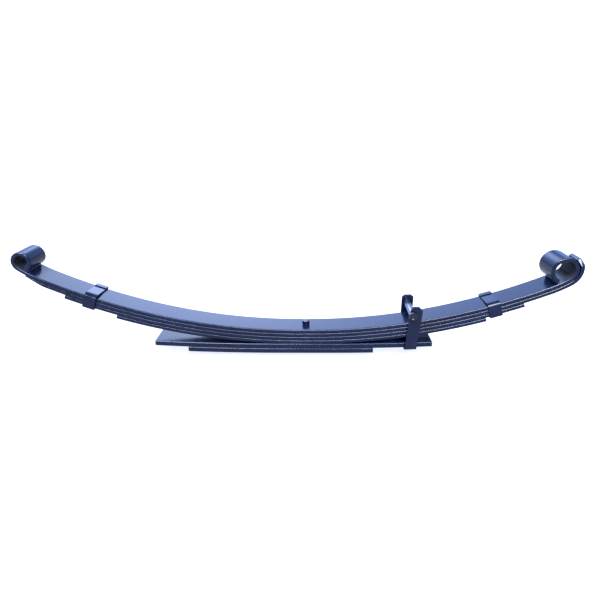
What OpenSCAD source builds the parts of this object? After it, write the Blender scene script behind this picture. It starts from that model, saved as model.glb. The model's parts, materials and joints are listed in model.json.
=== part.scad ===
// Leaf spring for a light 4x4 or pick-up: four nested cambered leaves over two nearly flat overload
// leaves, held by a centre bolt, two clinch clips and one bolt clip.
// Frame: origin at the centre bolt on the top face of the main leaf. X runs along the spring towards
// the fixed eye, Y across its width, Z up. Millimetres.
// The cambered leaves are cut at two flex hinges, so that each end can swing as the spring deflects.

/* [Cambered leaves] */
// width of every leaf
leaf_w = 60; // [50:1:70]
// thickness of each cambered leaf
leaf_t = 8; // [6:0.5:9]
// camber radius on the top face of the main leaf
camber_r = 1255; // [1245:5:1270]
// half-length of the flat where the axle pad sits
seat_half = 10; // [8:1:20]
// angle along the camber where the third leaf ends, fixed-eye side
third_fixed_deg = 19.7; // [18.5:0.1:20.5]
// angle along the camber where the third leaf ends, shackle side
third_shackle_deg = 22.4; // [21.5:0.1:23]
// angle along the camber where the fourth leaf ends, fixed-eye side
fourth_fixed_deg = 16.2; // [14:0.1:16.4]
// angle along the camber where the fourth leaf ends, shackle side
fourth_shackle_deg = 17.45; // [15:0.05:19]
// chamfer that stands for the rolled edges of the leaf bar
edge_c = 1.2; // [0.6:0.1:2]

/* [Eyes] */
// distance of the fixed eye from the centre bolt, along X
fixed_x = 507; // [503:1:510]
// height of the fixed eye above the main leaf's seat
fixed_z = 126; // [125:1:129]
// bore radius of the fixed eye
fixed_bore_r = 19; // [17:0.5:20]
// distance of the shackle eye from the centre bolt, along X
shackle_x = 570.5; // [567:0.5:573]
// height of the shackle eye above the main leaf's seat
shackle_z = 151; // [150:1:154]
// bore radius of the shackle eye
shackle_bore_r = 13; // [11:0.5:14]
// radius of the sweep that leads the main leaf into an eye
sweep_r = 220; // [200:5:240]
// turn of the main leaf round the fixed eye
fixed_turn = 306; // [290:1:306]
// turn of the main leaf round the shackle eye
shackle_turn = 298; // [285:1:300]
// gap between the fixed eye and the second leaf wrapped round it
wrap_gap = 2.8; // [1:0.1:3]
// angle of the wrapped tip, measured from straight down
wrap_end_deg = 124; // [110:1:128]

/* [Overload leaves] */
// thickness of the long overload leaf
over_t = 11; // [9:0.5:12]
// thickness of the short bottom leaf
under_t = 11; // [9:0.5:12]
// radius of the slight camber in both overload leaves
over_r = 4900; // [4200:100:6000]
// half-length of the flat under the axle pad
over_seat = 50; // [40:1:60]
// end of the long overload leaf on the fixed-eye side
over_fixed_x = 263; // [250:1:275]
// end of the long overload leaf on the shackle side
over_shackle_x = 320; // [300:1:325]
// end of the short bottom leaf on the fixed-eye side
under_fixed_x = 141; // [120:1:160]
// end of the short bottom leaf on the shackle side
under_shackle_x = 250; // [230:1:260]

/* [Centre bolt] */
// radius of the locating head on top
head_r = 7.75; // [6:0.25:8]
// height of the locating head
head_h = 10; // [7:0.5:12]
// radius of the shank
shank_r = 5; // [4:0.5:5]
// width across the flats of the nut
centre_af = 16; // [15:1:19]
// thickness of the nut
centre_nut_h = 8; // [6:0.5:9]

/* [Clinch clips] */
// width of the strap along the spring
strap_w = 25; // [20:1:30]
// thickness of the strap
strap_t = 3; // [2:0.25:3.5]
// angle along the camber of the clip on the fixed-eye side
fixed_clip_deg = 17.1; // [17.1:0.1:17.6]
// angle along the camber of the clip on the shackle side
shackle_clip_deg = 20.1; // [19.5:0.1:20.6]
// space left between the strap and the main leaf
strap_lift = 1.5; // [1:0.1:2.5]
// side play between the strap and each edge of the leaves
strap_play = 0.8; // [0.4:0.1:1.5]

/* [Bolt clip] */
// position of the bolt clip along the spring
bolt_clip_x = 217; // [214:1:225]
// thickness of its strap
bracket_t = 4; // [3:0.5:5]
// clear space between each arm and the edges of the leaves
bracket_play = 2; // [1.5:0.5:6]
// height of the arms above the overload leaf
arm_h = 83; // [80:1:90]
// outboard lean of the near arm
near_lean_deg = 6.8; // [0:0.2:7]
// outboard lean of the far arm
far_lean_deg = 2.4; // [0:0.2:5]
// height of the clip bolt above the overload leaf
clip_bolt_h = 64.5; // [62:0.5:67]
// place of the clip bolt, outboard of the clip's rivet
clip_bolt_out = 3; // [1:0.5:5]
// radius of the spacer tube
tube_r = 6.5; // [6.5:0.25:8]
// radius of the clip bolt
clip_bolt_r = 5; // [4:0.5:5]

/* [Flex hinges] */
// angle along the camber of the two flex hinges
hinge_deg = 7; // [6:0.1:7.5]
// radius of the knuckle that joins two lengths of leaf
knuckle_r = 24; // [21:0.5:26]
// running gap round the knuckle
knuckle_gap = 0.4; // [0.3:0.05:0.8]

/* [Hidden] */
$fn = 96;
far = 900;
pack_t = 4 * leaf_t;
over_top_z = -pack_t;
under_top_z = over_top_z - over_t;
base_z = under_top_z - under_t;
hole_r = shank_r + 0.25;
rivet_r = 4;
rivet_hole_r = rivet_r + 0.15;
bracket_gap = leaf_w + 2 * bracket_play;
bracket_low = over_t + bracket_t;
arm_outer = bracket_gap / 2 + bracket_t;
bolt_af = 17;
bolt_head_h = 6.4;
washer_r = 10;
washer_t = 2;
clip_nut_h = 8;

// pivot of a flex hinge: on the middle of the cambered pack
pivot_x = seat_half + (camber_r + pack_t / 2) * sin(hinge_deg);
pivot_z = camber_r - (camber_r + pack_t / 2) * cos(hinge_deg);

// The camber arc, the sweep arc and the eye are tangent to each other. Their centres make a triangle,
// which gives the angle where the sweep starts and the angle where the eye starts.
function link_a() = camber_r - sweep_r;
function link_b(bore_r) = sweep_r - bore_r;
function reach(x, z) = norm([x - seat_half, camber_r - z]);
function sweep_start(x, z, bore_r) =
    let (d = reach(x, z), a = link_a(), b = link_b(bore_r))
    atan2(x - seat_half, camber_r - z) - acos((a * a + d * d - b * b) / (2 * a * d));
function eye_start(x, z, bore_r) =
    let (d = reach(x, z), a = link_a(), b = link_b(bore_r))
    sweep_start(x, z, bore_r) + acos((d * d - a * a - b * b) / (2 * a * b));

fixed_sweep_deg = sweep_start(fixed_x, fixed_z, fixed_bore_r);
fixed_eye_deg = eye_start(fixed_x, fixed_z, fixed_bore_r);
shackle_sweep_deg = sweep_start(shackle_x, shackle_z, shackle_bore_r);
shackle_eye_deg = eye_start(shackle_x, shackle_z, shackle_bore_r);

// second leaf: its sweep about the same centres, its wrap about a centre set back by the wrap gap
wrap_r = fixed_bore_r + leaf_t + wrap_gap;
second_end_deg = shackle_sweep_deg + 7.4;
// the thinned end of the second leaf: its thickness at the tip, and the slope of the cut below it
thinned_t = 1.2;
thinning_deg = 5;

paint = [0.05, 0.06, 0.09];
zinc = [0.72, 0.73, 0.70];

// ---- leaf bar ----

// section of a leaf bar: radius along X, width along Y, corners chamfered
module bar_section(r_in, t) {
    h = leaf_w / 2;
    c = edge_c;
    polygon([[r_in + c, -h], [r_in + t - c, -h], [r_in + t, -h + c], [r_in + t, h - c],
        [r_in + t - c, h], [r_in + c, h], [r_in, h - c], [r_in, -h + c]]);
}

// length of bar bent about [cx, cz], between two angles measured from straight down
module bent_bar(cx, cz, r_in, t, from_deg, to_deg) {
    translate([cx, 0, cz])
        rotate([90, 0, 0])
            rotate([0, 0, from_deg - 90])
                rotate_extrude(angle = to_deg - from_deg)
                    bar_section(r_in, t);
}

// straight bar with its top face at z = top, from x0 to x1
module straight_bar(x0, x1, top, t) {
    translate([x0, 0, top])
        rotate([0, 90, 0])
            linear_extrude(height = x1 - x0)
                bar_section(0, t);
}

// Bend of leaf n that starts at the origin, on the main leaf's top face, and turns towards +Z by
// turn degrees. r is the bend radius of the main leaf's top face.
module bend(n, r, turn) {
    bent_bar(0, r, r + n * leaf_t, leaf_t, 0, turn);
}

// the place that such a bend of the main leaf's top face leads to
module past_bend(r, turn) {
    translate([0, 0, r])
        rotate([0, -turn, 0])
            translate([0, 0, -r])
                children();
}

// leaf n on the camber, between two angles
module camber_bar(n, from_deg, to_deg) {
    bent_bar(seat_half, camber_r, camber_r + n * leaf_t, leaf_t, from_deg, to_deg);
}

// Outer end of leaf n: camber, then the sweep towards an eye. Children are drawn where the eye starts.
module swept_end(n, sweep_deg, eye_deg) {
    turn = eye_deg - sweep_deg;
    on_camber(sweep_deg) {
        bend(n, camber_r, inner_deg - sweep_deg);
        difference() {
            bend(n, sweep_r, turn + 0.5);
            past_bend(sweep_r, turn)
                translate([0, -leaf_w, -leaf_w])
                    cube(2 * leaf_w);
        }
        past_bend(sweep_r, turn)
            children();
    }
}

// ---- flex hinge cuts, drawn on the fixed-eye side ----

module knuckle(r) {
    translate([pivot_x, 0, pivot_z])
        rotate([90, 0, 0])
            cylinder(r = r, h = leaf_w + 4, center = true);
}

// everything inboard of the hinge except the knuckle
module inboard_of_hinge() {
    difference() {
        translate([pivot_x - far, -far / 2, -far / 2])
            cube([far, far, far]);
        knuckle(knuckle_r);
    }
}

// middle length of cambered leaf n
module seat_length(n) {
    difference() {
        union() {
            straight_bar(-seat_half, seat_half, -n * leaf_t, leaf_t);
            camber_bar(n, 0, hinge_deg - 0.1);
            mirror([1, 0, 0])
                camber_bar(n, 0, hinge_deg - 0.1);
        }
        knuckle(knuckle_r + knuckle_gap);
        mirror([1, 0, 0])
            knuckle(knuckle_r + knuckle_gap);
        translate([0, 0, -(n + 1) * leaf_t - 1])
            cylinder(r = hole_r, h = leaf_t + 2);
    }
}

// cut any outer length back to its hinge
module outer_length() {
    difference() {
        children();
        inboard_of_hinge();
    }
}

inner_deg = hinge_deg - 1.5;

// ---- clinch clip place: on the main leaf's top face, X along the leaf, Z away from it ----

module on_camber(a) {
    translate([seat_half, 0, camber_r])
        rotate([0, -a, 0])
            translate([0, 0, -camber_r])
                children();
}

module rivet_hole(clip_deg) {
    on_camber(clip_deg)
        translate([0, 0, -3 * leaf_t - 1])
            cylinder(r = rivet_hole_r, h = leaf_t + 2);
}

// ---- main leaf ----

module main_leaf_seat() {
    color(paint)
        seat_length(0);
}

module main_leaf_fixed() {
    color(paint)
        outer_length()
            swept_end(0, fixed_sweep_deg, fixed_eye_deg)
                bend(0, fixed_bore_r, fixed_turn);
}

module main_leaf_shackle() {
    color(paint)
        mirror([1, 0, 0])
            outer_length()
                swept_end(0, shackle_sweep_deg, shackle_eye_deg)
                    bend(0, shackle_bore_r, shackle_turn);
}

// ---- second leaf ----

module second_leaf_seat() {
    color(paint)
        seat_length(1);
}

// the wrap's tip is narrowed by a cut across each corner
module tip_corner(turn) {
    translate([0, 0, wrap_r - leaf_t])
        rotate([0, -turn, 0])
            translate([0, leaf_w / 2 - 12, -wrap_r - leaf_t - 2])
                rotate([0, 0, 40])
                    translate([0, -10, 0])
                        cube([40, 40, leaf_t + 4]);
}

module second_leaf_fixed() {
    turn = wrap_end_deg - fixed_eye_deg;
    color(paint)
        outer_length()
            swept_end(1, fixed_sweep_deg, fixed_eye_deg)
                difference() {
                    bent_bar(0, wrap_r - leaf_t, wrap_r, leaf_t, 0, turn);
                    tip_corner(turn);
                    mirror([0, 1, 0])
                        tip_corner(turn);
                }
}

// the shackle end stops under the eye, and is thinned from below
module second_leaf_shackle() {
    color(paint)
        mirror([1, 0, 0])
            outer_length()
                difference() {
                    swept_end(1, shackle_sweep_deg, second_end_deg);
                    on_camber(shackle_sweep_deg)
                        past_bend(sweep_r, second_end_deg - shackle_sweep_deg)
                            translate([0, -leaf_w, -leaf_t - thinned_t])
                                rotate([0, thinning_deg, 0])
                                    translate([-60, 0, -30])
                                        cube([80, 2 * leaf_w, 30]);
                }
}

// ---- third leaf ----

module third_leaf_seat() {
    color(paint)
        seat_length(2);
}

module third_leaf_fixed() {
    color(paint)
        outer_length()
            difference() {
                camber_bar(2, inner_deg, third_fixed_deg);
                rivet_hole(fixed_clip_deg);
            }
}

module third_leaf_shackle() {
    color(paint)
        mirror([1, 0, 0])
            outer_length()
                difference() {
                    camber_bar(2, inner_deg, third_shackle_deg);
                    rivet_hole(shackle_clip_deg);
                }
}

// ---- fourth leaf ----

module fourth_leaf_seat() {
    color(paint)
        seat_length(3);
}

module fourth_leaf_fixed() {
    color(paint)
        outer_length()
            camber_bar(3, inner_deg, fourth_fixed_deg);
}

module fourth_leaf_shackle() {
    color(paint)
        mirror([1, 0, 0])
            outer_length()
                camber_bar(3, inner_deg, fourth_shackle_deg);
}

// ---- overload leaves ----

// angle on the overload camber at distance x along the spring
function over_deg(x) = asin((x - over_seat) / over_r);

module flat_leaf(top, t, fixed_end, shackle_end) {
    drop = over_top_z - top;
    straight_bar(-over_seat, over_seat, top, t);
    bent_bar(over_seat, over_top_z + over_r, over_r + drop, t, 0, over_deg(fixed_end));
    mirror([1, 0, 0])
        bent_bar(over_seat, over_top_z + over_r, over_r + drop, t, 0, over_deg(shackle_end));
}

// place on the overload leaf's top face under the bolt clip, Z away from the leaf
module on_overload() {
    translate([over_seat, 0, over_top_z + over_r])
        rotate([0, -over_deg(bolt_clip_x), 0])
            translate([0, 0, -over_r])
                children();
}

module overload_leaf() {
    color(paint)
        difference() {
            flat_leaf(over_top_z, over_t, over_fixed_x, over_shackle_x);
            translate([0, 0, under_top_z - 1])
                cylinder(r = hole_r, h = over_t + 2);
            on_overload()
                translate([0, 0, -over_t - 1])
                    cylinder(r = rivet_hole_r, h = over_t + 2);
        }
}

module bottom_leaf() {
    color(paint)
        difference() {
            flat_leaf(under_top_z, under_t, under_fixed_x, under_shackle_x);
            translate([0, 0, base_z - 1])
                cylinder(r = hole_r, h = under_t + 2);
        }
}

// ---- centre bolt ----

module centre_bolt() {
    color(paint)
        rotate_extrude()
            polygon([[0, head_h], [head_r - 1, head_h], [head_r, head_h - 1], [head_r, 0],
                [shank_r, 0], [shank_r, base_z - centre_nut_h - 2],
                [shank_r - 1, base_z - centre_nut_h - 3], [0, base_z - centre_nut_h - 3]]);
}

// hexagon nut on the Z axis with its corners turned down, a bore through it
module hex_nut(af, h, bore_r) {
    corner_r = af / sqrt(3);
    difference() {
        intersection() {
            cylinder(r = corner_r, h = h, $fn = 6);
            rotate_extrude()
                polygon([[0, 0], [af / 2, 0], [corner_r + 0.1, 1.2], [corner_r + 0.1, h - 1.2],
                    [af / 2, h], [0, h]]);
        }
        translate([0, 0, -1])
            cylinder(r = bore_r, h = h + 2);
    }
}

module centre_nut() {
    color(paint)
        translate([0, 0, base_z - centre_nut_h])
            hex_nut(centre_af, centre_nut_h, shank_r + 0.05);
}

// ---- clinch clips ----

// outline with rounded corners, centred on X
module round_rect(w, h, r) {
    translate([-w / 2 + r, 0])
        square([w - 2 * r, h]);
    translate([-w / 2, r])
        square([w, h - 2 * r]);
    for (x = [-w / 2 + r, w / 2 - r], y = [r, h - r])
        translate([x, y])
            circle(r = r);
}

// Strap bent into a closed loop round the three upper leaves. Its two tails meet on top, in a seam
// nearer the far edge.
module clinch_strap() {
    inner_w = leaf_w + 2 * strap_play;
    inner_h = 3 * leaf_t + strap_lift;
    seam_y = leaf_w / 2 - 12;
    difference() {
        rotate([90, 0, 90])
            linear_extrude(height = strap_w, center = true)
                difference() {
                    translate([0, -3 * leaf_t - strap_t])
                        round_rect(inner_w + 2 * strap_t, inner_h + 2 * strap_t, strap_t + 1);
                    translate([0, -3 * leaf_t])
                        round_rect(inner_w, inner_h, 1);
                    translate([seam_y, 0])
                        square([1, strap_lift + strap_t + 1]);
                }
        translate([0, 0, -3 * leaf_t - strap_t - 1])
            cylinder(r = rivet_hole_r, h = strap_t + 2);
    }
}

// rivet through a strap and the leaf above it, head below; z = 0 is the strap's lower face
module rivet(length) {
    rotate_extrude()
        polygon([[0, length], [rivet_r, length], [rivet_r, 0], [7, 0], [7, -1.2], [6, -2.6],
            [4, -3.4], [0, -3.4]]);
}

module fixed_clip() {
    color(paint)
        on_camber(fixed_clip_deg)
            clinch_strap();
}

module fixed_clip_rivet() {
    color(paint)
        on_camber(fixed_clip_deg)
            translate([0, 0, -3 * leaf_t - strap_t])
                rivet(strap_t + leaf_t - 0.5);
}

module shackle_clip() {
    color(paint)
        mirror([1, 0, 0])
            on_camber(shackle_clip_deg)
                clinch_strap();
}

module shackle_clip_rivet() {
    color(paint)
        mirror([1, 0, 0])
            on_camber(shackle_clip_deg)
                translate([0, 0, -3 * leaf_t - strap_t])
                    rivet(strap_t + leaf_t - 0.5);
}

// ---- bolt clip ----

// Its shapes are drawn from the overload leaf's top face, X along that leaf, Z away from it.

// outline of one bent arm seen from the side; each corner cut at the top is [width, height]
module arm_outline(lean_deg, inner_cut, outer_cut) {
    w = strap_w / 2;
    lean = (arm_h + bracket_low) * tan(lean_deg);
    polygon([[-w, -bracket_low - 1], [w, -bracket_low - 1], [w, -over_t],
        [w + lean, arm_h - outer_cut[1]], [w + lean - outer_cut[0], arm_h],
        [-w + lean + inner_cut[0], arm_h], [-w + lean, arm_h - inner_cut[1]], [-w, -over_t]]);
}

// the two arms lean by different angles, so each half of the strap has its own outline
module arm_outlines() {
    rotate([90, 0, 0])
        linear_extrude(height = leaf_w)
            arm_outline(near_lean_deg, [4, 8], [9, 9]);
    mirror([0, 1, 0])
        rotate([90, 0, 0])
            linear_extrude(height = leaf_w)
                arm_outline(far_lean_deg, [5, 5], [6, 5]);
}

// U-shaped strap under the overload leaf
module bolt_clip() {
    strap_l = 2 * strap_w;
    color(paint)
        on_overload()
            difference() {
                intersection() {
                    rotate([90, 0, 90])
                        linear_extrude(height = strap_l, center = true)
                            difference() {
                                translate([0, -bracket_low])
                                    round_rect(bracket_gap + 2 * bracket_t, 2 * arm_h, bracket_t + 2);
                                translate([0, -over_t])
                                    round_rect(bracket_gap, 2 * arm_h, 2);
                            }
                    arm_outlines();
                }
                on_clip_bolt()
                    cylinder(r = clip_bolt_r + 0.25, h = 2 * leaf_w, center = true);
                translate([0, 0, -bracket_low - 1])
                    cylinder(r = rivet_hole_r, h = bracket_t + 2);
            }
}

module bolt_clip_rivet() {
    color(paint)
        on_overload()
            translate([0, 0, -bracket_low])
                rivet(bracket_low - 0.5);
}

// places a shape drawn along Z on the clip bolt's axis, Z pointing from the near arm to the far arm
module on_clip_bolt() {
    translate([clip_bolt_out, 0, clip_bolt_h])
        rotate([-90, 0, 0])
            children();
}

module clip_bolt() {
    corner_r = bolt_af / sqrt(3);
    color(paint)
        on_overload()
            on_clip_bolt() {
                translate([0, 0, -arm_outer - bolt_head_h])
                    intersection() {
                        cylinder(r = corner_r, h = bolt_head_h, $fn = 6);
                        rotate_extrude()
                            polygon([[0, 0], [bolt_af / 2, 0], [corner_r + 0.1, 1.2],
                                [corner_r + 0.1, bolt_head_h], [0, bolt_head_h]]);
                    }
                translate([0, 0, -arm_outer])
                    cylinder(r = clip_bolt_r, h = 2 * arm_outer + washer_t + clip_nut_h + 3);
            }
}

module spacer_tube() {
    color(zinc)
        on_overload()
            on_clip_bolt()
                difference() {
                    cylinder(r = tube_r, h = bracket_gap, center = true);
                    cylinder(r = clip_bolt_r + 0.4, h = bracket_gap + 2, center = true);
                }
}

module clip_washer() {
    color(zinc)
        on_overload()
            on_clip_bolt()
                translate([0, 0, arm_outer])
                    difference() {
                        cylinder(r = washer_r, h = washer_t);
                        translate([0, 0, -1])
                            cylinder(r = clip_bolt_r + 0.25, h = washer_t + 2);
                    }
}

module clip_nut() {
    color(paint)
        on_overload()
            on_clip_bolt()
                translate([0, 0, arm_outer + washer_t])
                    hex_nut(bolt_af, clip_nut_h, clip_bolt_r + 0.05);
}

main_leaf_seat();
main_leaf_fixed();
main_leaf_shackle();
second_leaf_seat();
second_leaf_fixed();
second_leaf_shackle();
third_leaf_seat();
third_leaf_fixed();
third_leaf_shackle();
fourth_leaf_seat();
fourth_leaf_fixed();
fourth_leaf_shackle();
overload_leaf();
bottom_leaf();
centre_bolt();
centre_nut();
fixed_clip();
fixed_clip_rivet();
shackle_clip();
shackle_clip_rivet();
bolt_clip();
bolt_clip_rivet();
clip_bolt();
spacer_tube();
clip_washer();
clip_nut();
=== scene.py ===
"""Looks of the leaf spring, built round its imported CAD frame. Metres, X along the spring, Z up."""
import json
import math

import bmesh
import bpy
from mathutils import Matrix, Vector, noise


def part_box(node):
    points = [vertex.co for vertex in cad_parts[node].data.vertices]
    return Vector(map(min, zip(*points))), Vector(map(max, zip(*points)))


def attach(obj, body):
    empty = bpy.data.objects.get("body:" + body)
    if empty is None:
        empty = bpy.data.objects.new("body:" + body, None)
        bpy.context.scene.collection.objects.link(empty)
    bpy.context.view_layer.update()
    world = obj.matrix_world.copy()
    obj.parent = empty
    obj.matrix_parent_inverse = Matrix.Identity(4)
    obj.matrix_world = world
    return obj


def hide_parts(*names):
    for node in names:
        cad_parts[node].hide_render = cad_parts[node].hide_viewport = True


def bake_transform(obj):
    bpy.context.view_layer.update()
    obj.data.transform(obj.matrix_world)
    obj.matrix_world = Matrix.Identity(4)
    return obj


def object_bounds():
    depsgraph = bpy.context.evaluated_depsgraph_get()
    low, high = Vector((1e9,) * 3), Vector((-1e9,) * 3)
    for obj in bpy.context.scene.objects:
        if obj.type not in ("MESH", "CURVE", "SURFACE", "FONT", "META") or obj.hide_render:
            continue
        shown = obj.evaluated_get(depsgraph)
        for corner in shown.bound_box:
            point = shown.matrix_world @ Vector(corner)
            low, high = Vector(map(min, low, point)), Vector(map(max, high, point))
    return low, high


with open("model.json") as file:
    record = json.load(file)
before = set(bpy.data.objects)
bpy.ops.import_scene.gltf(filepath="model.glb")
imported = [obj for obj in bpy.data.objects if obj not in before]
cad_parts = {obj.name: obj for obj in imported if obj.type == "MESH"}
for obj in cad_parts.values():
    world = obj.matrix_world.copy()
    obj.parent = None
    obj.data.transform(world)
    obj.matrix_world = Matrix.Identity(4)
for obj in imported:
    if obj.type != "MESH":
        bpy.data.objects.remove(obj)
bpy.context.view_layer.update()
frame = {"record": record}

MM = 0.001
MOUNTS = {m["name"]: m for m in frame["record"]["mounts"]}

# ---- sizes of the leaves ----

HALF_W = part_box("overload_leaf")[1].y
LEAF_T = 8 * MM
# bend radii of the main leaf's top face: along the camber, and where it sweeps up to an eye
CAMBER_R = 1255 * MM
SWEEP_R = 220 * MM
# half-length of the flat under the centre bolt
SEAT_HALF = 10 * MM
# turn of the main leaf round each eye
FIXED_TURN = math.radians(306)
SHACKLE_TURN = math.radians(298)
# rounding of a leaf's long edges and of its sheared end
EDGE_R = 2.6 * MM
OVER_EDGE_R = 2.0 * MM
END_R = 0.9 * MM
END_SHARE = 0.4
# least distance between a plain section and a rounded end
END_ROOM = 0.2 * MM
# unevenness of the rolled edges
ROLLED = 0.18 * MM
# second leaf: gap and end angle of its wrap, half-width and length of the wrap's cut corners
WRAP_GAP = 2.8 * MM
WRAP_END = math.radians(124)
TIP_HALF_W = HALF_W - 12 * MM
TIP_CUT = 10 * MM
# second leaf: thickness at its thinned end, length of the thinning, turn of its sweep
THIN_END = 1.2 * MM
THIN_LENGTH = 37 * MM
THIN_TURN = math.radians(7.4)

# overload and bottom leaf
OVER_T = 11 * MM
OVER_R = 4900 * MM
OVER_SEAT = 50 * MM
OVER_TOP = -4 * LEAF_T

# ---- small helpers ----


def mount_xz(name):
    """Where a mount is, in the plane of the spring."""
    x, _, z = MOUNTS[name]["pos_m"]
    return abs(x), z


def bore(name):
    """Radius of a mount."""
    return MOUNTS[name]["dims"]["r_mm"] * MM


def smooth(x):
    """Smooth step from 0 to 1."""
    x = min(max(x, 0.0), 1.0)
    return x * x * (3 - 2 * x)


def link_object(name, mesh):
    obj = bpy.data.objects.new(name, mesh)
    bpy.context.scene.collection.objects.link(obj)
    return obj


def tidy_normals(obj, angle_deg=32):
    """Smooth shading that keeps flat faces flat and true corners sharp."""
    mesh = obj.data
    for poly in mesh.polygons:
        poly.use_smooth = True
    mesh.set_sharp_from_angle(angle=math.radians(angle_deg))
    weighted = obj.modifiers.new("weighted normals", "WEIGHTED_NORMAL")
    weighted.keep_sharp = True


def mesh_from(name, points, faces, **layers):
    """Mesh with its normals outwards. Each layer is a number for every point, for the materials."""
    mesh = bpy.data.meshes.new(name)
    mesh.from_pydata([tuple(p) for p in points], [], faces)
    work = bmesh.new()
    work.from_mesh(mesh)
    bmesh.ops.remove_doubles(work, verts=work.verts, dist=1e-7)
    bmesh.ops.recalc_face_normals(work, faces=work.faces)
    work.to_mesh(mesh)
    work.free()
    for layer_name, values in layers.items():
        if len(values) == len(mesh.vertices):
            layer = mesh.attributes.new(layer_name, "FLOAT", "POINT")
            layer.data.foreach_set("value", values)
    mesh.update()
    return mesh


# ---- flat bar swept along a route ----


class Route:
    """Tangent straight and round lengths in the plane of the spring, from x = 0 outwards."""

    def __init__(self, z):
        self.pieces = []
        self.length = 0.0
        self.end = (0.0, z, 0.0)

    def add(self, length, radius=None):
        curve = 1 / radius if radius else 0.0
        self.pieces.append((self.length, self.end, curve))
        self.length += length
        self.end = self.at(self.length)
        return self

    def turn(self, angle, radius):
        return self.add(angle * radius, radius)

    def at(self, s):
        start, (x, z, heading), curve = [p for p in self.pieces if p[0] <= s + 1e-12][-1]
        run = s - start
        if not curve:
            return x + run * math.cos(heading), z + run * math.sin(heading), heading
        new = heading + run * curve
        return (x + (math.sin(new) - math.sin(heading)) / curve,
                z + (math.cos(heading) - math.cos(new)) / curve, new)

    def samples(self, longest=7 * MM, widest=math.radians(5)):
        """Distances along the route, close together where it bends."""
        out = []
        ends = [p[0] for p in self.pieces[1:]] + [self.length]
        for (start, _, curve), end in zip(self.pieces, ends):
            count = max(1, math.ceil((end - start) / longest),
                        math.ceil((end - start) * curve / widest))
            out += [start + (end - start) * i / count for i in range(count)]
        return out + [self.length]


def outline(low, high, thick, radius, inset=0.0, steps=4):
    """Rounded section of a flat bar: (across, up, edge) points. Edge is 1 on a corner's crest."""
    low, high, top, bottom = low + inset, high - inset, -inset, -thick + inset
    r = max(0.1 * MM, min(radius - inset, (high - low) / 2.05, (top - bottom) / 2.05))
    corners = [(high - r, top - r, 0), (low + r, top - r, 90),
               (low + r, bottom + r, 180), (high - r, bottom + r, 270)]
    points = []
    for across, up, start in corners:
        for i in range(steps + 1):
            a = math.radians(start + 90 * i / steps)
            crest = 1 - abs(2 * i / steps - 1)
            points.append((across + r * math.cos(a), up + r * math.sin(a), crest))
    return points


def tube_faces(count, rows):
    """Faces of a closed tube: rows rings of count points each, and a face over each end."""
    faces = []
    for row in range(rows - 1):
        a, b = row * count, (row + 1) * count
        for i in range(count):
            j = (i + 1) % count
            faces.append((a + i, a + j, b + j, b + i))
    faces.append(tuple(range(count)))
    faces.append(tuple(range((rows - 1) * count, rows * count)))
    return faces


def swept(name, stations, radius, eye_shade=None):
    """Closed bar through stations of (place, across, up, low, high, thick, inset). eye_shade gives,
    for each station, how far its top face lies inside an eye, which sets its painted shade and
    roughness."""
    points, edges, inside = [], [], []
    for row, (place, across, up, low, high, thick, inset) in enumerate(stations):
        section = outline(low, high, thick, radius, inset)
        for i, (a, u, crest) in enumerate(section):
            points.append(place + across * a + up * u)
            edges.append(max(crest, inset / radius))
            # painted shade: only points on the top face take the eye's share, which darkens and
            # roughens their paint
            inside.append(eye_shade[row] if eye_shade and u > -0.5 * radius else 0.0)
    faces = tube_faces(len(points) // len(stations), len(stations))
    obj = link_object(name, mesh_from(name, points, faces, edge=edges, bore=inside))
    tidy_normals(obj)
    return obj


def rounded_end(length, radius, steps=4):
    """Distances from a bar's free end, with how far the section has shrunk there."""
    out = []
    for i in range(steps + 1):
        a = math.radians(90 * i / steps)
        out.append((length - radius * (1 - math.sin(a)), radius * (1 - math.cos(a))))
    return out


def rolled_edge(s, seed):
    """Slight unevenness of a rolled bar's width."""
    return ROLLED * (1 + noise.noise(Vector((s * 11, seed * 7.3, 0.5))))


def leaf_bar(name, route, side, seed, width=None, thickness=None, eye_start=None):
    """One half of a leaf, from the centre bolt to its end. side is 1 or -1 along X. width and
    thickness give a half-width and a thickness for each distance left to the end."""
    end_r = min(END_R, END_SHARE * (thickness(0.0) if thickness else LEAF_T))
    distances = [(s, 0.0) for s in route.samples() if s < route.length - end_r - END_ROOM]
    distances += rounded_end(route.length, end_r)
    stations = []
    for s, inset in distances:
        x, z, heading = route.at(s)
        left = route.length - s
        half = width(left) if width else HALF_W
        thick = thickness(left) if thickness else LEAF_T
        place = Vector((side * x, 0, z))
        up = Vector((-side * math.sin(heading), 0, math.cos(heading)))
        stations.append((place, Vector((0, 1, 0)), up, -half + rolled_edge(s, seed),
                         half - rolled_edge(s, seed + 40), thick, inset))
    eye_shade = None
    if eye_start:
        # painted shade: the darkening starts 20 mm before the eye, on the leaf's top leading into
        # it, and is full 10 mm into the eye
        eye_shade = [smooth((s - eye_start + 20 * MM) / (30 * MM)) for s, _ in distances]
    return swept(name, stations, EDGE_R, eye_shade)


# ---- curves of the cambered leaves ----


def sweep_angles(eye_name):
    """Angles where the camber gives way to the sweep, and the sweep to the eye."""
    x, z = mount_xz(eye_name)
    a, b = CAMBER_R - SWEEP_R, SWEEP_R - bore(eye_name)
    d = math.hypot(x - SEAT_HALF, CAMBER_R - z)
    whole = math.atan2(x - SEAT_HALF, CAMBER_R - z)
    first = whole - math.acos((a * a + d * d - b * b) / (2 * a * d))
    return first, first + math.acos((d * d - a * a - b * b) / (2 * a * b))


def camber_route(n, angle):
    """Top face of leaf n from the centre bolt to an angle on the camber."""
    return Route(-n * LEAF_T).add(SEAT_HALF).turn(angle, CAMBER_R + n * LEAF_T)


FIXED_SWEEP, FIXED_EYE = sweep_angles("fixed_eye")
SHACKLE_SWEEP, SHACKLE_EYE = sweep_angles("shackle_eye")


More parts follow.
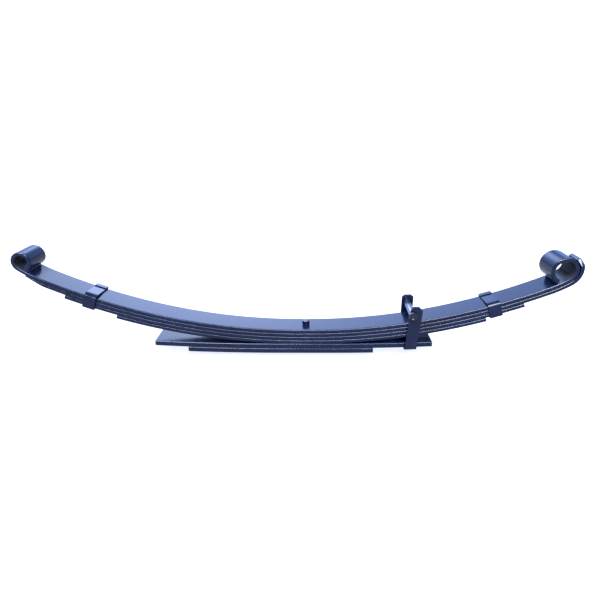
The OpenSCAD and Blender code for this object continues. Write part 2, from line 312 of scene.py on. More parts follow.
def main_leaf(label, side, sweep, eye_angle, eye_turn, seed):
    """Half of the main leaf, with its eye."""
    route = camber_route(0, sweep).turn(eye_angle - sweep, SWEEP_R)
    eye_start = route.length
    route.turn(eye_turn, bore(f"{label}_eye"))
    return leaf_bar(f"main_leaf_{label}_half", route, side, seed, eye_start=eye_start)


def wrap_width(left):
    """Half-width near the wrapped tip, whose corners are cut off."""
    return min(HALF_W, TIP_HALF_W + (HALF_W - TIP_HALF_W) * left / TIP_CUT)


def second_fixed():
    """Half of the second leaf that wraps round the outside of the fixed eye."""
    route = camber_route(1, FIXED_SWEEP).turn(FIXED_EYE - FIXED_SWEEP, SWEEP_R + LEAF_T)
    wrap_r = bore("fixed_eye") + LEAF_T + WRAP_GAP
    route.turn(WRAP_END - FIXED_EYE, wrap_r)
    return leaf_bar("second_leaf_fixed_half", route, 1, 3, width=wrap_width)


def second_shackle():
    """Half of the second leaf that ends thinned under the shackle eye."""
    route = camber_route(1, SHACKLE_SWEEP).turn(THIN_TURN, SWEEP_R + LEAF_T)

    def thinned(left):
        return min(LEAF_T, THIN_END + (LEAF_T - THIN_END) * left / THIN_LENGTH)

    return leaf_bar("second_leaf_shackle_half", route, -1, 4, thickness=thinned)


def end_angle(node, n):
    """Angle on the camber where leaf n ends, from the reach of its CAD length."""
    low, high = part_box(node)
    reach = max(-low.x, high.x) - SEAT_HALF
    return math.asin(reach / (CAMBER_R + (n + 1) * LEAF_T))


def build_leaves():
    """The four cambered leaves, each in two halves."""
    made = []
    for label, side in (("fixed", 1), ("shackle", -1)):
        if side > 0:
            main = main_leaf(label, side, FIXED_SWEEP, FIXED_EYE, FIXED_TURN, 1)
            second = second_fixed()
        else:
            main = main_leaf(label, side, SHACKLE_SWEEP, SHACKLE_EYE, SHACKLE_TURN, 2)
            second = second_shackle()
        leaves = [(main, "main_leaf"), (second, "second_leaf")]
        for n, word in ((2, "third_leaf"), (3, "fourth_leaf")):
            route = camber_route(n, end_angle(f"{word}_{label}", n))
            leaves.append((leaf_bar(f"{word}_{label}_half", route, side, 2 * n + side), word))
        for bar, word in leaves:
            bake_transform(bar)
            replaced = [f"{word}_{label}"] + ([f"{word}_seat"] if side > 0 else [])
            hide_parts(*replaced)
            made.append(bar)
    return made


def flat_leaf(name, node, top, seed):
    """An overload leaf, in one piece from end to end."""
    low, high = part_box(node)
    radius = OVER_R + OVER_TOP - top
    stations = []
    for side, reach in ((-1, -low.x), (1, high.x)):
        route = Route(top).add(OVER_SEAT).add(reach - OVER_SEAT - 0.2 * MM, radius)
        last = route.length - END_R - END_ROOM
        rows = [(s, 0.0) for s in route.samples(longest=16 * MM) if s < last]
        rows += rounded_end(route.length, END_R)
        half = []
        for s, inset in rows[0 if side > 0 else 1:]:
            x, z, heading = route.at(s)
            up = Vector((-side * math.sin(heading), 0, math.cos(heading)))
            half.append((Vector((side * x, 0, z)), Vector((0, 1, 0)), up,
                         -HALF_W + rolled_edge(side * s, seed),
                         HALF_W - rolled_edge(side * s, seed + 9), OVER_T, inset))
        stations = half[::-1] if side < 0 else stations + half
    obj = swept(name, stations, OVER_EDGE_R)
    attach(obj, "seat")
    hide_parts(node)
    return obj


# ---- straps: clinch clips and bolt clip ----

STRAP_W = 25 * MM
STRAP_T = 3 * MM
# room between the strap and the main leaf's top face, and the leaves' edges
STRAP_LIFT = 1.5 * MM
STRAP_PLAY = 0.8 * MM
STRAP_BEND_R = 4.5 * MM
STRAP_EDGE_R = 0.8 * MM
CLIP_ANGLES = {"fixed": math.radians(17.1), "shackle": math.radians(20.1)}
# seam between the two tails: its place from the far edge, half its gap, the tails' heights
SEAM_IN = 12 * MM
SEAM_HALF = 0.8 * MM
FAR_TAIL_RISE = 0.5 * MM
NEAR_TAIL_DROP = 1.4 * MM
# near shoulder: how far its crest stands up, and the width and height of its slope
SHOULDER_RISE = 2 * MM
SHOULDER_RUN = 7.5 * MM
SHOULDER_DROP = 5 * MM
SHOULDER_BEND_R = 5.5 * MM
CREST_BEND_R = 18 * MM


def on_camber(angle, side):
    """Frame on the main leaf's top face: X along the leaf, Z away from it."""
    x = SEAT_HALF + CAMBER_R * math.sin(angle)
    z = CAMBER_R * (1 - math.cos(angle))
    return Matrix.Translation((side * x, 0, z)) @ Matrix.Rotation(-side * angle, 4, "Y")


def bent_path(corners, radii, steps=8, longest=6 * MM):
    """Path through (y, z) corners, rounded by its own radius at each: (y, z, heading) rows."""
    legs = list(zip(corners[:-1], corners[1:]))
    angles = [math.atan2(b[1] - a[1], b[0] - a[0]) for a, b in legs]
    turns = [(b - a + math.pi) % (2 * math.pi) - math.pi for a, b in zip(angles[:-1], angles[1:])]
    trims = [0.0] + [r * math.tan(abs(turn) / 2) for r, turn in zip(radii, turns)] + [0.0]
    rows = []
    for i, (a, b) in enumerate(legs):
        length = math.dist(a, b)
        straight = length - trims[i] - trims[i + 1]
        count = max(1, round(straight / longest))
        for k in range(count + 1):
            share = (trims[i] + straight * k / count) / length
            rows.append((a[0] + (b[0] - a[0]) * share, a[1] + (b[1] - a[1]) * share, angles[i]))
        if i < len(turns):
            hand = math.copysign(radii[i], turns[i])
            y, z, heading = rows[-1]
            centre_y, centre_z = y - hand * math.sin(heading), z + hand * math.cos(heading)
            for k in range(1, steps):
                h = heading + turns[i] * k / steps
                rows.append((centre_y + hand * math.sin(h), centre_z - hand * math.cos(h), h))
    return rows


def clinch_clip(label, side):
    """Strap bent round the three upper leaves. Its near shoulder is bent in a wide curve, its near
    tail is hammered down to the leaf at the seam, and its far tail stands up a little."""
    outer_y = HALF_W + STRAP_PLAY + STRAP_T
    top, bottom = STRAP_LIFT + STRAP_T, -3 * LEAF_T - STRAP_T
    seam = HALF_W - SEAM_IN
    crest = top + SHOULDER_RISE
    corners = [(seam + SEAM_HALF, top + FAR_TAIL_RISE), (outer_y, top), (outer_y, bottom),
               (-outer_y, bottom), (-outer_y, crest - SHOULDER_DROP),
               (-outer_y + SHOULDER_RUN, crest), (seam - SEAM_HALF, top - NEAR_TAIL_DROP)]
    radii = [STRAP_BEND_R, STRAP_BEND_R, STRAP_BEND_R, SHOULDER_BEND_R, CREST_BEND_R]
    half = STRAP_W / 2 - 0.15 * MM
    place = on_camber(CLIP_ANGLES[label], side)
    turn = place.to_3x3()
    along = turn @ Vector((1, 0, 0))
    stations = []
    for y, z, heading in bent_path(corners, radii):
        wobble = 0.12 * MM * noise.noise(Vector((y * 60, z * 60, side * 3.1)))
        outward = Vector((0, -math.sin(heading), math.cos(heading)))
        stations.append((place @ Vector((0, y, z)), along, turn @ outward,
                         wobble - half, wobble + half, STRAP_T, 0.0))
    obj = swept(f"{label}_clinch_strap", stations, STRAP_EDGE_R)
    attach(obj, f"{label}_arm")
    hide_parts(f"{label}_clip")
    return obj


def on_overload(x):
    """Frame on the overload leaf's top face."""
    angle = math.asin((x - OVER_SEAT) / OVER_R)
    z = OVER_TOP + OVER_R * (1 - math.cos(angle))
    return Matrix.Translation((x, 0, z)) @ Matrix.Rotation(-angle, 4, "Y")


BOLT_CLIP = on_overload(217 * MM)
BRACKET_T = 4 * MM
BRACKET_HALF = HALF_W + 2 * MM
BRACKET_BEND_R = 6 * MM
BRACKET_EDGE_R = 0.9 * MM
ARM_OUTER = BRACKET_HALF + BRACKET_T
ARM_H = 83 * MM
ARM_END_R = 0.8 * MM
WEB_LOW = -OVER_T - BRACKET_T
# length of an arm's top with close sections, for its cut corners, and the space between them
ARM_TOP = 10 * MM
ARM_STEP = 1 * MM
# slope of each arm's lean, and the corners cut off its top as (width, height)
NEAR_ARM = (math.tan(math.radians(6.8)), (4 * MM, 8 * MM), (9 * MM, 9 * MM))
FAR_ARM = (math.tan(math.radians(2.4)), (5 * MM, 5 * MM), (6 * MM, 5 * MM))


def cut_off(z, cut):
    """How much a cut corner narrows an arm at height z."""
    wide, high = cut
    return wide * min(max((z - (ARM_H - high)) / high, 0.0), 1.0)


def bolt_clip():
    """U-shaped strap under the overload leaf, its arms leaning outboard by different amounts."""
    corners = [(-ARM_OUTER, ARM_H), (-ARM_OUTER, WEB_LOW), (ARM_OUTER, WEB_LOW), (ARM_OUTER, ARM_H)]
    rows = bent_path(corners, [BRACKET_BEND_R, BRACKET_BEND_R])
    middle = [(y, z, heading, 0.0) for y, z, heading in rows if z < ARM_H - ARM_TOP]
    arm_end = [(ARM_H - ARM_TOP + k * ARM_STEP, 0.0) for k in range(1, 10)]
    arm_end = [row for row in arm_end if row[0] < ARM_H - ARM_END_R - 0.1 * MM]
    for a in (0, 22.5, 45, 67.5, 90):
        a = math.radians(a)
        arm_end.append((ARM_H - ARM_END_R * (1 - math.sin(a)), ARM_END_R * (1 - math.cos(a))))
    near = [(-ARM_OUTER, z, -math.pi / 2, inset) for z, inset in reversed(arm_end)]
    far = [(ARM_OUTER, z, math.pi / 2, inset) for z, inset in arm_end]
    turn = BOLT_CLIP.to_3x3()
    stations = []
    for y, z, heading, inset in near + middle + far:
        lean, inner, outside = NEAR_ARM if y < 0 else FAR_ARM
        on_arm = abs(y) > BRACKET_HALF - BRACKET_BEND_R
        shift = lean * max(0.0, z - WEB_LOW) if on_arm else 0.0
        outward = Vector((0, math.sin(heading), -math.cos(heading)))
        low = -STRAP_W / 2 + cut_off(z, inner)
        high = STRAP_W / 2 - cut_off(z, outside)
        place = BOLT_CLIP @ Vector((shift, y, z))
        stations.append((place, turn @ Vector((1, 0, 0)), turn @ outward,
                         low + 0.1 * MM, high - 0.1 * MM, BRACKET_T, inset))
    obj = swept("bolt_clip_strap", stations, BRACKET_EDGE_R)
    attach(obj, "seat")
    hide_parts("bolt_clip")
    return obj


# ---- turned and hexagonal pieces ----


def ring(place, radius_at, z, count):
    """Points round Z at height z, moved to place. radius_at gives the radius for each angle."""
    points = []
    for i in range(count):
        a = 2 * math.pi * i / count
        r = radius_at(a)
        points.append(place @ Vector((r * math.cos(a), r * math.sin(a), z)))
    return points


def lathe(name, profile, place, count=64):
    """Turned piece from (radius, height) points, closed on its axis, put where place says."""
    points = []
    for r, z in profile:
        points += ring(place, lambda a: r, z, count)
    obj = link_object(name, mesh_from(name, points, tube_faces(count, len(profile))))
    tidy_normals(obj)
    return obj


def fillet(r, z, radius, start_deg, end_deg, steps=5):
    """Points of a rounded corner about (r, z)."""
    out = []
    for i in range(steps + 1):
        a = math.radians(start_deg + (end_deg - start_deg) * i / steps)
        out.append((r + radius * math.cos(a), z + radius * math.sin(a)))
    return out


THREAD_PITCH = 1.5 * MM
THREAD_DEPTH = 0.8 * MM
THREAD_TIP = 1.2 * MM


def screw_end(name, place, radius, low, high):
    """Threaded length of a bolt on Z, with a chamfered tip at high."""
    count, per_turn = 48, 12
    rows = int((high - low) / THREAD_PITCH * per_turn)
    points = []
    for k in range(rows + 1):
        z = low + (high - low) * k / rows
        tip = min(1.0, (high - z) / THREAD_TIP)
        chamfer_r = radius - THREAD_DEPTH * (1.0 - tip) * 1.4

        def thread_r(a):
            phase = (z / THREAD_PITCH - a / (2 * math.pi)) % 1.0
            return min(radius - THREAD_DEPTH * abs(2 * phase - 1) ** 1.2, chamfer_r)

        points += ring(place, thread_r, z, count)
    obj = link_object(name, mesh_from(name, points, tube_faces(count, rows + 1)))
    tidy_normals(obj, 50)
    return obj


def hexagon(name, place, flats, high, hole=None, both=True):
    """Hexagon head or nut on Z from 0 to high, its corners turned down at the top, and below if
    both. One without a hole has a dished face."""
    count = 96
    flat_r = flats / 2
    face_r = flat_r * 0.96
    slope = math.tan(math.radians(30))

    def corner_r(a):
        return flat_r / math.cos((a + math.pi / 6) % (math.pi / 3) - math.pi / 6)

    def sloped(base, sign):
        """Ring where the turned face meets the six flats."""
        return [place @ Vector((corner_r(a) * math.cos(a), corner_r(a) * math.sin(a),
                                base + sign * (corner_r(a) - face_r) * slope))
                for a in (2 * math.pi * i / count for i in range(count))]

    low_ring = ring(place, lambda a: face_r if both else corner_r(a) * 0.97, 0.0, count)
    rings = [low_ring, sloped(0.0, 1 if both else 0), sloped(high, -1),
             ring(place, lambda a: face_r, high, count)]
    if hole:
        inner = [(hole + 0.5 * MM, high), (hole, high - 0.5 * MM),
                 (hole, 0.5 * MM), (hole + 0.5 * MM, 0.0)]
    else:
        inner = [(face_r * 0.72, high), (face_r * 0.56, high - 1.1 * MM),
                 (face_r * 0.2, high - 1.2 * MM)]
    for r, z in inner:
        rings.append(ring(place, lambda a: r, z, count))
    points = [point for points in rings for point in points]
    faces = tube_faces(count, len(rings))
    if hole:
        # the bore's last ring joins the first one, in place of the two end faces
        last = (len(rings) - 1) * count
        faces = faces[:-2] + [(last + i, last + (i + 1) % count, (i + 1) % count, i)
                              for i in range(count)]
    obj = link_object(name, mesh_from(name, points, faces))
    bevel = obj.modifiers.new("worn corners", "BEVEL")
    bevel.width = 0.35 * MM
    bevel.segments = 2
    bevel.limit_method = "ANGLE"
    bevel.angle_limit = math.radians(35)
    tidy_normals(obj, 40)
    return obj


def join(name, objs):
    """One object out of several, with their modifiers applied first."""
    for obj in objs:
        bpy.context.view_layer.objects.active = obj
        for modifier in list(obj.modifiers):
            if modifier.type != "WEIGHTED_NORMAL":
                with bpy.context.temp_override(object=obj):
                    bpy.ops.object.modifier_apply(modifier=modifier.name)
    with bpy.context.temp_override(active_object=objs[0], selected_editable_objects=objs):
        bpy.ops.object.join()
    objs[0].name = name
    objs[0].data.name = name
    return objs[0]


HEAD_R = bore("centre_pin")
HEAD_H = 10 * MM
HEAD_ROUND = 1.3 * MM
SHANK_R = 5 * MM
BASE_Z = OVER_TOP - 2 * OVER_T
CENTRE_NUT_H = 8 * MM
CENTRE_FLATS = 16 * MM
# radius of a profile's first or last point on its axis
AXIS_R = 0.001 * MM
# how far a bolt stands out of its nut
BOLT_PAST = 3 * MM
# play between a nut's bore and the thread
NUT_PLAY = 0.05 * MM


def centre_bolt():
    """Centre bolt and its nut. The head's top is very slightly crowned."""
    profile = [(AXIS_R, HEAD_H), (2.5 * MM, HEAD_H - 0.03 * MM), (5 * MM, HEAD_H - 0.12 * MM)]
    profile += fillet(HEAD_R - HEAD_ROUND, HEAD_H - 0.25 * MM - HEAD_ROUND, HEAD_ROUND, 80, 0)
    profile += [(HEAD_R, 0.8 * MM), (HEAD_R - 0.4 * MM, 0.0),
                (SHANK_R, 0.0), (SHANK_R, BASE_Z - 1 * MM)]
    head = lathe("centre_bolt_head", profile, Matrix.Identity(4))
    low = BASE_Z - CENTRE_NUT_H - BOLT_PAST
    upside_down = Matrix.Rotation(math.pi, 4, "X")
    screw = screw_end("centre_bolt_thread", upside_down, SHANK_R, -BASE_Z + 1 * MM, -low)
    bolt = join("centre_bolt_turned", [head, screw])
    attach(bolt, "seat")
    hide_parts("centre_bolt")
    place = Matrix.Translation((0, 0, BASE_Z - CENTRE_NUT_H))
    nut = hexagon("centre_bolt_hex_nut", place, CENTRE_FLATS, CENTRE_NUT_H, hole=SHANK_R + NUT_PLAY)
    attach(nut, "seat")
    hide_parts("centre_nut")
    return [bolt, nut]


BOLT_R = 5 * MM
BOLT_FLATS = 17 * MM
BOLT_HEAD_H = 6.4 * MM
BOLT_NUT_H = 8 * MM
WASHER_R = 10 * MM
WASHER_T = 2 * MM
WASHER_ROUND = 0.4 * MM
TUBE_R = 6.5 * MM
TUBE_ROUND = 0.6 * MM
# the clip bolt's axis: Z along the bolt, from the near arm to the far arm
BOLT_PLACE = (BOLT_CLIP @ Matrix.Translation((3 * MM, 0, 64.5 * MM))
              @ Matrix.Rotation(-math.pi / 2, 4, "X"))


def rounded_ring(name, inner, outer, low, high, radius, place):
    """Washer or tube on Z whose outer corners are rounded."""
    profile = [(inner, low), (outer - radius, low)]
    profile += fillet(outer - radius, low + radius, radius, -90, 0)[1:]
    profile += fillet(outer - radius, high - radius, radius, 0, 90) + [(inner, high)]
    return lathe(name, profile, place)


def clip_fastener():
    """Bolt, spacer tube, washer and nut of the bolt clip."""
    head_place = BOLT_PLACE @ Matrix.Translation((0, 0, -ARM_OUTER))
    head_place = head_place @ Matrix.Rotation(math.pi, 4, "X")
    head = hexagon("clip_bolt_head", head_place, BOLT_FLATS, BOLT_HEAD_H, both=False)
    shank = lathe("clip_bolt_shank", [(BOLT_R, -ARM_OUTER), (BOLT_R, ARM_OUTER)], BOLT_PLACE)
    end = ARM_OUTER + WASHER_T + BOLT_NUT_H + BOLT_PAST
    screw = screw_end("clip_bolt_thread", BOLT_PLACE, BOLT_R, ARM_OUTER, end)
    bolt = join("clip_hex_bolt", [head, shank, screw])
    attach(bolt, "seat")
    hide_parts("clip_bolt")

    half = BRACKET_HALF - 0.02 * MM
    tube = rounded_ring("clip_spacer_tube", BOLT_R + 0.4 * MM, TUBE_R, -half, half, TUBE_ROUND,
                        BOLT_PLACE)
    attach(tube, "seat")
    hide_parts("spacer_tube")

    on_arm = BOLT_PLACE @ Matrix.Translation((0, 0, ARM_OUTER))
    washer = rounded_ring("clip_flat_washer", BOLT_R + 0.25 * MM, WASHER_R, 0.0, WASHER_T,
                          WASHER_ROUND, on_arm)
    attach(washer, "seat")
    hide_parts("clip_washer")

    on_washer = BOLT_PLACE @ Matrix.Translation((0, 0, ARM_OUTER + WASHER_T))
    nut = hexagon("clip_hex_nut", on_washer, BOLT_FLATS, BOLT_NUT_H, hole=BOLT_R + NUT_PLAY)
    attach(nut, "seat")
    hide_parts("clip_nut")
    return bolt, tube, washer, nut


RIVET_R = 4 * MM
RIVET_HEAD_R = 7 * MM
RIVET_RIM = 0.4 * MM
RIVET_CROWN = 3 * MM
# how far a rivet's shank stops below the face that it is clinched in
RIVET_SHORT = 0.5 * MM


def rivet(name, place, length, node, body):
    """Rivet with a snap head below, in the hole of a strap; z = 0 is the strap's lower face."""
    profile = [(RIVET_R, length), (RIVET_R, 0.0),
               (RIVET_HEAD_R - 0.3 * MM, 0.0), (RIVET_HEAD_R, -RIVET_RIM)]
    for i in range(1, 9):
        a = math.radians(90 * i / 8)
        profile.append((max(AXIS_R, RIVET_HEAD_R * math.cos(a)),
                        -RIVET_RIM - RIVET_CROWN * math.sin(a)))
    obj = lathe(name, profile, place)
    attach(obj, body)
    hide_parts(node)
    return obj


def build_rivets():
    """One rivet under each clinch clip and one under the bolt clip."""
    made = []
    below = Matrix.Translation((0, 0, -3 * LEAF_T - STRAP_T))
    for label, side in (("fixed", 1), ("shackle", -1)):
        place = on_camber(CLIP_ANGLES[label], side) @ below
        made.append(rivet(f"{label}_clinch_rivet", place, STRAP_T + LEAF_T - RIVET_SHORT,
                          f"{label}_clip_rivet", f"{label}_arm"))
    place = BOLT_CLIP @ Matrix.Translation((0, 0, WEB_LOW))
    made.append(rivet("bolt_clip_snap_rivet", place, OVER_T + BRACKET_T - RIVET_SHORT,
                      "bolt_clip_rivet", "seat"))
    return made


# ---- materials ----


class Shader:
    """A material's node tree, with short calls for the nodes used here."""

    def __init__(self, name):
        self.material = bpy.data.materials.new(name)
        self.material.use_nodes = True
        self.tree = self.material.node_tree
        self.tree.nodes.clear()
        output = self.tree.nodes.new("ShaderNodeOutputMaterial")
        self.bsdf = self.tree.nodes.new("ShaderNodeBsdfPrincipled")
        self.link(self.bsdf.outputs[0], output.inputs[0])
        coords = self.tree.nodes.new("ShaderNodeTexCoord")
        self.place = coords.outputs["Object"]

    def link(self, source, target):
        self.tree.links.new(source, target)

    def feed(self, source, target):
        """Links a socket, or sets a plain value."""
        if isinstance(source, bpy.types.NodeSocket):
            self.link(source, target)
        else:
            target.default_value = source

    def stretched(self, scale):
        """Object coordinates scaled along each axis, for lines across the long one."""
        mapping = self.tree.nodes.new("ShaderNodeMapping")
        mapping.inputs["Scale"].default_value = scale
        self.link(self.place, mapping.inputs["Vector"])
        return mapping.outputs[0]

    def noise(self, scale, detail, rough, vector=None):
        made = self.tree.nodes.new("ShaderNodeTexNoise")
        made.inputs["Scale"].default_value = scale
        made.inputs["Detail"].default_value = detail
        made.inputs["Roughness"].default_value = rough
        self.link(vector or self.place, made.inputs["Vector"])
        return made.outputs["Fac"]

    def ramp(self, value, low, high, out_low=0.0, out_high=1.0):
        """Maps low..high to out_low..out_high, smoothly and within those limits."""
        made = self.tree.nodes.new("ShaderNodeMapRange")
        made.interpolation_type = "SMOOTHSTEP"
        made.inputs["From Min"].default_value = low
        made.inputs["From Max"].default_value = high
        made.inputs["To Min"].default_value = out_low
        made.inputs["To Max"].default_value = out_high
        self.feed(value, made.inputs["Value"])
        return made.outputs[0]

    def math(self, kind, a, b):
        made = self.tree.nodes.new("ShaderNodeMath")
        made.operation = kind
        self.feed(a, made.inputs[0])
        self.feed(b, made.inputs[1])
        return made.outputs[0]

    def mix(self, share, a, b):
        made = self.tree.nodes.new("ShaderNodeMix")
        made.data_type = "RGBA"
        self.feed(share, made.inputs[0])
        self.feed(a, made.inputs[6])
        self.feed(b, made.inputs[7])
        return made.outputs[2]

    def attribute(self, name):
        made = self.tree.nodes.new("ShaderNodeAttribute")
        made.attribute_name = name
        return made.outputs["Fac"]

    def bump(self, *layers):
        """Bump from (height, distance in metres) layers, applied one over the other."""
        last = None
        for height, distance in layers:
            made = self.tree.nodes.new("ShaderNodeBump")
            made.inputs["Distance"].default_value = distance
            made.inputs["Strength"].default_value = 1.0
            self.link(height, made.inputs["Height"])
            if last:
                self.link(last, made.inputs["Normal"])
            last = made.outputs[0]
        self.link(last, self.bsdf.inputs["Normal"])


def rgba(r, g, b):
    return (r, g, b, 1.0)


def paint(name, colour, gloss, ior):
    """Sprayed gloss paint over rolled steel: orange peel, scale under the film, dust, and faintly
    rubbed edges. Near the inside of an eye it is rougher and painted near-black: painted shade."""
    s = Shader(name)
    cloud = s.noise(9, 4, 0.6)
    scale = s.noise(260, 4, 0.65)
    peel = s.noise(900, 2, 0.5)
    wave = s.noise(28, 2, 0.4)
    dust = s.ramp(s.noise(55, 5, 0.7), 0.52, 0.72)
    specks = s.ramp(s.noise(1500, 1, 0.3), 0.74, 0.80)
    edge = s.math("MULTIPLY", s.attribute("edge"), s.ramp(s.noise(120, 5, 0.7), 0.50, 0.68))

    deep = rgba(*(c * 0.85 for c in colour))
    pale = rgba(*(c * 1.2 for c in colour))
    base = s.mix(s.ramp(cloud, 0.35, 0.65), deep, pale)
    base = s.mix(s.math("MULTIPLY", dust, 0.06), base, rgba(0.04, 0.05, 0.08))
    base = s.mix(s.math("MULTIPLY", specks, 0.16), base, rgba(0.11, 0.12, 0.16))
    base = s.mix(s.math("MULTIPLY", edge, 0.07), base, rgba(0.09, 0.10, 0.13))
    inside = s.attribute("bore")
    # painted shade: near-black paint inside the eyes and on the leaf's top leading into them
    base = s.mix(inside, base, rgba(0.004, 0.004, 0.006))
    s.link(base, s.bsdf.inputs["Base Color"])

    rough = s.ramp(cloud, 0.3, 0.7, gloss - 0.03, gloss + 0.03)
    rough = s.math("ADD", rough, s.math("MULTIPLY", dust, 0.06))
    rough = s.math("ADD", rough, s.math("MULTIPLY", scale, 0.03))
    rough = s.math("ADD", rough, s.math("MULTIPLY", inside, 0.65))
    s.link(rough, s.bsdf.inputs["Roughness"])
    s.bsdf.inputs["IOR"].default_value = ior
    s.bump((wave, 0.000010), (scale, 0.000006), (peel, 0.000004))
    return s.material


def zinc(name):
    """Bright zinc plate with fine turning lines and a little dulling."""
    s = Shader(name)
    lines = s.noise(60, 3, 0.6, vector=s.stretched((1, 34, 1)))
    bloom = s.noise(90, 5, 0.65)
    base = s.mix(s.ramp(bloom, 0.35, 0.7), rgba(0.30, 0.32, 0.36), rgba(0.20, 0.21, 0.25))
    s.link(base, s.bsdf.inputs["Base Color"])
    s.bsdf.inputs["Metallic"].default_value = 1.0
    rough = s.math("ADD", s.ramp(bloom, 0.3, 0.75, 0.22, 0.42), s.math("MULTIPLY", lines, 0.08))
    s.link(rough, s.bsdf.inputs["Roughness"])
    s.bump((lines, 0.00003), (s.noise(700, 2, 0.5), 0.00001))
    return s.material


def shaded_bore_metal(name):
    """Rough, weakly reflecting steel inside an eye, its near-black colour painted shade, with
    rolling lines round the bore.
    """
    s = Shader(name)
    grime = s.noise(70, 5, 0.7)
    lines = s.noise(40, 3, 0.6, vector=s.stretched((1, 30, 1)))
    # painted shade: the bore's near-black colour
    s.link(s.mix(s.ramp(grime, 0.35, 0.7), rgba(0.006, 0.007, 0.012), rgba(0.015, 0.016, 0.024)),
           s.bsdf.inputs["Base Color"])
    s.link(s.ramp(lines, 0.3, 0.7, 0.45, 0.62), s.bsdf.inputs["Roughness"])
    s.bsdf.inputs["Specular IOR Level"].default_value = 0.15
    s.bump((lines, 0.00003), (grime, 0.00004))
    return s.material


def give(objs, material):
    """Gives pieces a material."""
    for obj in objs:
        obj.data.materials.clear()
        obj.data.materials.append(material)


FULLY_INSIDE = 0.99


def shade_bores(obj, material):
    """Gives the faces inside an eye their own material, whose near-black colour is painted shade."""
    inside = obj.data.attributes["bore"].data
    obj.data.materials.append(material)
    for poly in obj.data.polygons:
        if min(inside[i].value for i in poly.vertices) > FULLY_INSIDE:
            poly.material_index = 1


# ---- the object ----

LEAF_PAINT = paint("leaf_paint", (0.0010, 0.0034, 0.0145), 0.15, 1.35)
CLIP_PAINT = paint("clip_paint", (0.0010, 0.0031, 0.0130), 0.13, 1.37)
BOLT_PAINT = paint("bolt_paint", (0.003, 0.004, 0.009), 0.10, 1.45)
ZINC = zinc("zinc_plate")
SHADED_BORE_METAL = shaded_bore_metal("shaded_bore_steel")

leaves = build_leaves()
leaves.append(flat_leaf("long_overload_leaf", "overload_leaf", OVER_TOP, 21))
leaves.append(flat_leaf("short_bottom_leaf", "bottom_leaf", OVER_TOP - OVER_T, 23))
give(leaves, LEAF_PAINT)
for leaf in leaves:
    if leaf.name.startswith("main_leaf"):
        shade_bores(leaf, SHADED_BORE_METAL)
clips = [clinch_clip("fixed", 1), clinch_clip("shackle", -1), bolt_clip()] + build_rivets()
give(clips, CLIP_PAINT)
give(centre_bolt(), BOLT_PAINT)
fastener, spacer, washer, clip_nut = clip_fastener()
give([fastener, clip_nut], BOLT_PAINT)
give([spacer, washer], ZINC)

# ---- floor, light and camera ----


def floor_plane():
    """Pale light table: it glows a little by itself, so the spring's shade on it stays faint."""
    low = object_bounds()[0][2]
    mesh = bpy.data.meshes.new("floor")
    far = 8.0
    corners = [(-far, -far, low), (far, -far, low), (far, far, low), (-far, far, low)]
    mesh.from_pydata(corners, [], [(0, 1, 2, 3)])
    floor = link_object("floor", mesh)
    s = Shader("floor_white")
    s.bsdf.inputs["Base Color"].default_value = rgba(0.16, 0.16, 0.16)
    s.bsdf.inputs["Roughness"].default_value = 0.9
    s.bsdf.inputs["Specular IOR Level"].default_value = 0.0
    path = s.tree.nodes.new("ShaderNodeLightPath")
    glow = s.mix(path.outputs["Is Glossy Ray"], rgba(0.82, 0.86, 0.95), rgba(0.10, 0.14, 0.24))
    s.link(glow, s.bsdf.inputs["Emission Color"])
    s.bsdf.inputs["Emission Strength"].default_value = 1.0
    s.material.cycles.emission_sampling = "NONE"
    mesh.materials.append(s.material)


class World:
    """The studio round the object, as a function of direction, with the node calls of Shader."""

    def __init__(self):
        self.world = bpy.data.worlds.new("studio")
        bpy.context.scene.world = self.world
        self.world.use_nodes = True
        self.tree = self.world.node_tree
        self.tree.nodes.clear()
        coords = self.tree.nodes.new("ShaderNodeTexCoord")
        split = self.tree.nodes.new("ShaderNodeSeparateXYZ")
        self.link(coords.outputs["Generated"], split.inputs[0])
        self.x, self.y, self.z = split.outputs

    link = Shader.link
    feed = Shader.feed
    math = Shader.math
    mix = Shader.mix
    ramp = Shader.ramp


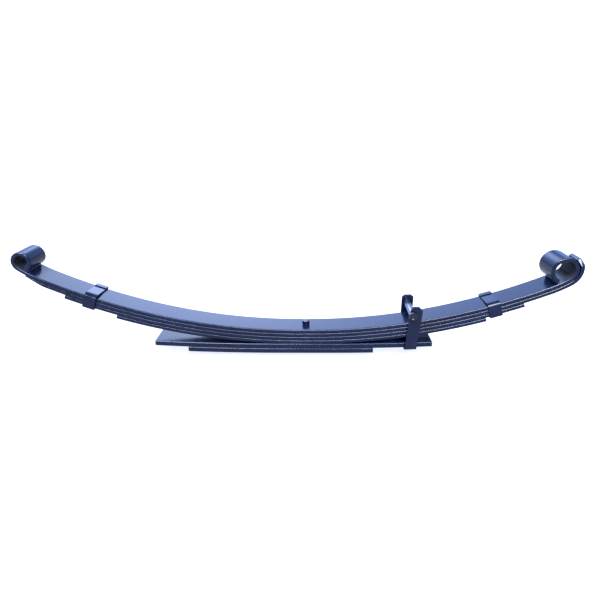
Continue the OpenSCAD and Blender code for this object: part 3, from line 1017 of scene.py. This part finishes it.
def studio():
    """White backdrop for the camera. What the paint reflects is a grey room, with blue light
    behind, a wide pale blue soft box behind the spring on its left, a narrow dark gap on its
    right, and a lamp bank high in front that draws the lines along the leaves' upper edges,
    brighter on the right."""
    s = World()
    deg = math.radians(1)
    azimuth = s.math("ARCTAN2", s.x, s.y)

    def both(a, b):
        return s.math("MULTIPLY", a, b)

    def fades(value, low, high):
        return s.ramp(value, low, high, 1.0, 0.0)

    below_top = fades(s.z, 0.70, 0.90)
    behind = both(both(s.ramp(s.y, 0.1, 0.6), s.ramp(s.z, -0.02, 0.16)), below_top)
    sides = both(fades(azimuth, -20 * deg, 14 * deg), s.ramp(azimuth, -32 * deg, -6 * deg))
    soft_box = both(sides, both(s.ramp(s.z, 0.12, 0.36), below_top))
    gap = both(s.ramp(azimuth, 9.3 * deg, 10.3 * deg), fades(azimuth, 16 * deg, 19 * deg))
    gap = both(both(gap, fades(s.z, 0.469, 0.485)), s.ramp(s.z, 0.25, 0.35))
    front = both(both(s.ramp(s.z, 0.50, 0.64), fades(s.y, -0.30, -0.06)), fades(s.x, 0.30, 0.60))

    # The right leaves reflect the bank's right half below z = 0.75, and its left half above it.
    crossing = both(s.math("SUBTRACT", 0.75, s.z), 5.0)
    right = both(s.math("ADD", s.x, 0.025), crossing)
    bank = s.mix(s.ramp(right, -0.005, 0.035), rgba(0.5, 0.75, 1.4), rgba(50, 54, 63))

    light = s.mix(behind, rgba(0.30, 0.34, 0.42), rgba(0.68, 1.15, 2.40))
    light = s.mix(soft_box, light, rgba(4.7, 5.8, 9.2))
    light = s.mix(gap, light, rgba(0.02, 0.03, 0.06))
    light = s.mix(front, light, bank)
    path = s.tree.nodes.new("ShaderNodeLightPath")
    seen = s.mix(path.outputs["Is Camera Ray"], light, rgba(1.05, 1.05, 1.05))
    back = s.tree.nodes.new("ShaderNodeBackground")
    out = s.tree.nodes.new("ShaderNodeOutputWorld")
    s.link(seen, back.inputs[0])
    s.link(back.outputs[0], out.inputs[0])


def camera():
    """The photographer's view: slightly right of the centre bolt, looking down at the near edge."""
    data = bpy.data.cameras.new("camera")
    data.lens = 28.8
    data.sensor_width = 36.0
    obj = link_object("camera", data)
    pitch, yaw, roll = (math.radians(a) for a in (22.3775, -2.3415, 1.0799))
    level = math.cos(pitch)
    ahead = Vector((math.sin(yaw) * level, math.cos(yaw) * level, -math.sin(pitch)))
    right = Vector((math.cos(yaw), -math.sin(yaw), 0))
    down = ahead.cross(right)
    across = math.cos(roll) * right + math.sin(roll) * down
    below = -math.sin(roll) * right + math.cos(roll) * down
    turn = Matrix((across, -below, -ahead)).transposed()
    stand = Matrix.Translation((26.174 * MM, -928.788 * MM, 438.693 * MM))
    obj.matrix_world = stand @ turn.to_4x4()
    data.clip_start = 0.01
    bpy.context.scene.camera = obj


floor_plane()
studio()
camera()
bpy.context.scene.view_settings.view_transform = "Standard"
